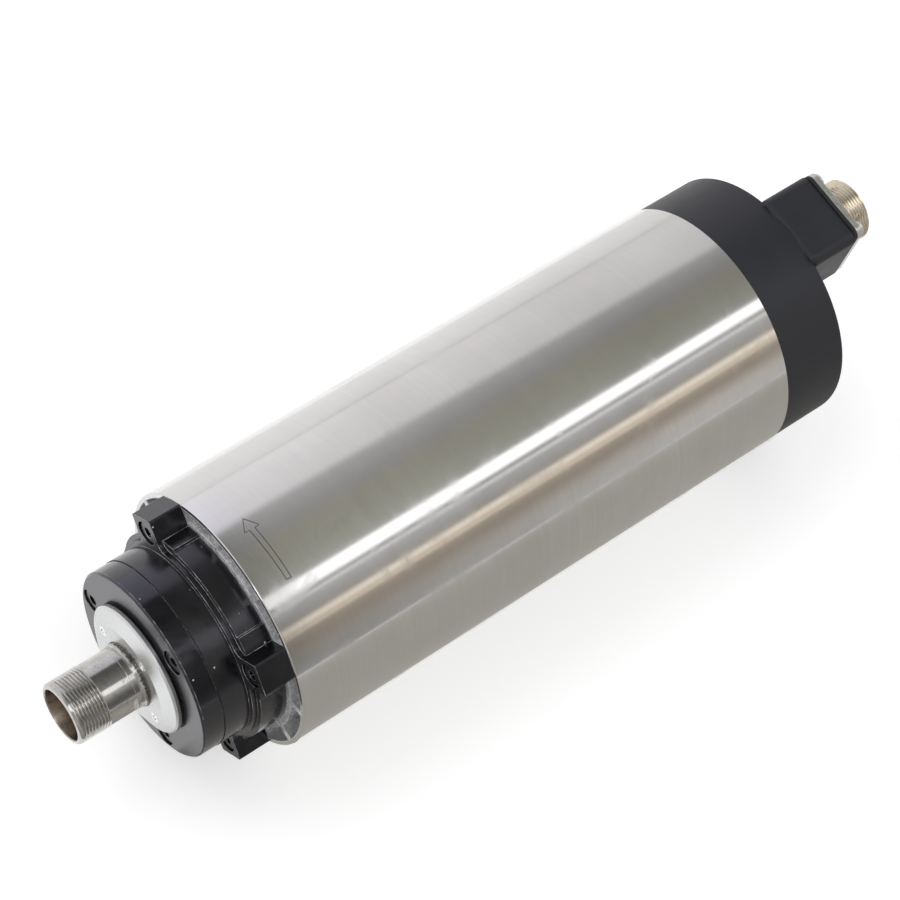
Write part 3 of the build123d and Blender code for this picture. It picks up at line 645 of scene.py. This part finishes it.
def sleeve_bands(upper, deep, low, strip):
    """The room as the sleeve mirrors it, from the +Y side over the top to the -Y side: a pale wall of one
    brightness, a dark ceiling of another, a strip lamp of a half width, a warm panel and a low wall."""
    return n.ramp(
        skewed, (0.00, (upper, 0.975 * upper, 0.99 * upper)),
        (0.225, (0.86 * upper, 0.84 * upper, 0.855 * upper)),
        (0.262, 1.35 * deep), (0.30, 1.2 * deep), (0.36, deep),
        (0.413, (deep, 0.97 * deep, 0.83 * deep)), (0.50, (1.03 * deep, 1.03 * deep, 0.87 * deep)),
        (0.585, (0.06 + 1.03 * deep, 0.06 + 1.03 * deep, 0.02 + 1.03 * deep)), (0.606, 0.15 + deep),
        (0.635 - strip, strip_light), (0.635 + strip, strip_light),
        (0.668, 0.40), (0.679, 0.42), (0.684, 0.90), (0.694, 0.86),
        (0.70, 0.52), (0.73, 0.46), (0.765, (0.40, 0.37, 0.32)), (0.782, (1.10, 1.0, 0.88)),
        (0.800, (0.98, 0.86, 0.70)), (0.806, (0.50, 0.42, 0.33)), (0.812, (0.95, 0.84, 0.70)),
        (0.828, (0.42, 0.36, 0.30)), (0.865, (0.36, 0.31, 0.26)),
        (0.93, (low, 0.96 * low, 0.88 * low)), (1.00, low),
    )


front_bands = n.ramp(
    angle, (0.0, 0.95), (0.25, 0.85), (0.40, 0.45), (0.48, 0.5), (0.50, strip_light),
    (0.62, strip_light), (0.64, 0.5), (1.0, 0.6),
)
nose_bands = n.ramp(
    angle, (0.0, (1.1, 1.1, 1.15)), (0.12, (0.93, 0.93, 0.98)), (0.20, (0.76, 0.76, 0.79)),
    (0.235, (0.62, 0.62, 0.65)), (0.26, 0.18), (0.30, 0.13), (0.36, (0.15, 0.15, 0.14)),
    (0.47, (0.25, 0.25, 0.23)), (0.53, 0.33), (0.595, 0.45), (0.61, 1.75), (0.69, 1.75),
    (0.715, 0.8), (0.755, 0.6), (0.80, 0.36), (0.86, 0.20), (0.93, 0.16), (1.0, 0.25),
)
black_bands = n.ramp(
    angle, (0.0, (0.98, 1.0, 1.2)), (0.08, (0.93, 0.95, 1.17)), (0.20, (0.80, 0.82, 1.0)),
    (0.245, (0.70, 0.72, 0.88)), (0.27, 0.18), (0.30, 0.09), (0.52, 0.09), (0.63, 0.10),
    (0.72, 0.14), (0.80, 0.09), (0.94, 0.11), (1.0, 0.3),
)
near_sleeve_bands = sleeve_bands(1.0, 0.38, 0.36, 0.024)
far_sleeve_bands = sleeve_bands(0.80, 0.30, 0.58, 0.017)

# Where along the tent each set of bands takes over, in metres: the nose mirrors the first ones, then come
# the black covers, the sleeve from its front to its rear end, and what lies behind
bands = front_bands
for start, end, zone in (
    (-0.8, 0.5, nose_bands), (0.630, 0.644, black_bands), (0.764, 0.774, near_sleeve_bands),
    (0.86, 1.4, far_sleeve_bands), (2.3, 2.6, front_bands),
):
    bands = n.mix(n.span(along, start, end, 0.0, 1.0), bands, zone)
shine = n.new("ShaderNodeEmission")
n.put(bands, shine.inputs["Color"])
n.show(shine)
tent.data.materials.append(glow)

# Cards just over the floor, seen only in polished surfaces: a warm grey one at the -Y side, which reaches
# under the nose and is a painted shade of the floor next to the object, and a pale one at the +Y side,
# darker towards the rear
card_lift = 0.0004


def card(name, outline, colour, brightness):
    made = plain_mesh(name, [(x, y, floor_z + card_lift) for x, y in outline], [tuple(range(len(outline)))])
    only_in_polish(made)
    material, n = paint(name)
    x, y, _ = n.split(n.new("ShaderNodeTexCoord").outputs["Object"])
    dim = n.new("ShaderNodeEmission")
    dim.inputs["Color"].default_value = (*colour, 1)
    n.put(brightness(n, x, y), dim.inputs["Strength"])
    n.show(dim)
    made.data.materials.append(material)


# Brightness of the warm grey card, a painted floor shade as polished parts mirror it
def shaded_floor_brightness(n, x, y):
    return n.span(y, -1.2, -0.2, 0.50, 0.43)


def far_brightness(n, x, y):
    return n.span(x, 0.0, 0.9, 0.98, 0.70)


near_outline = [(-6, -6), (6, -6), (6, -0.042), (-0.088, -0.042), (-0.088, -0.016), (-0.124, -0.016),
                (-0.124, -0.042), (-6, -0.042)]
far_outline = [(-6, 0.1), (6, 0.1), (6, 6), (-6, 6)]
card("studio_card", near_outline, (1.0, 0.965, 0.89), shaded_floor_brightness)
card("studio_card_far", far_outline, (1.0, 0.99, 0.985), far_brightness)


# Lamps
def lamp(name, place, target, size, power):
    data = bpy.data.lights.new(name, "AREA")
    data.shape = "RECTANGLE"
    data.size, data.size_y = size
    data.energy = power
    made = bpy.data.objects.new(name, data)
    scene.collection.objects.link(made)
    made.location = place
    made.rotation_euler = (Vector(target) - Vector(place)).to_track_quat("-Z", "Y").to_euler()
    made.visible_glossy = False


lamp("key", (-0.5, 0.9, 1.4), (0, 0, 0), (1.2, 1.2), 9)
lamp("fill", (0.6, -1.2, 1.0), (0, 0, 0), (1.4, 1.0), 5)
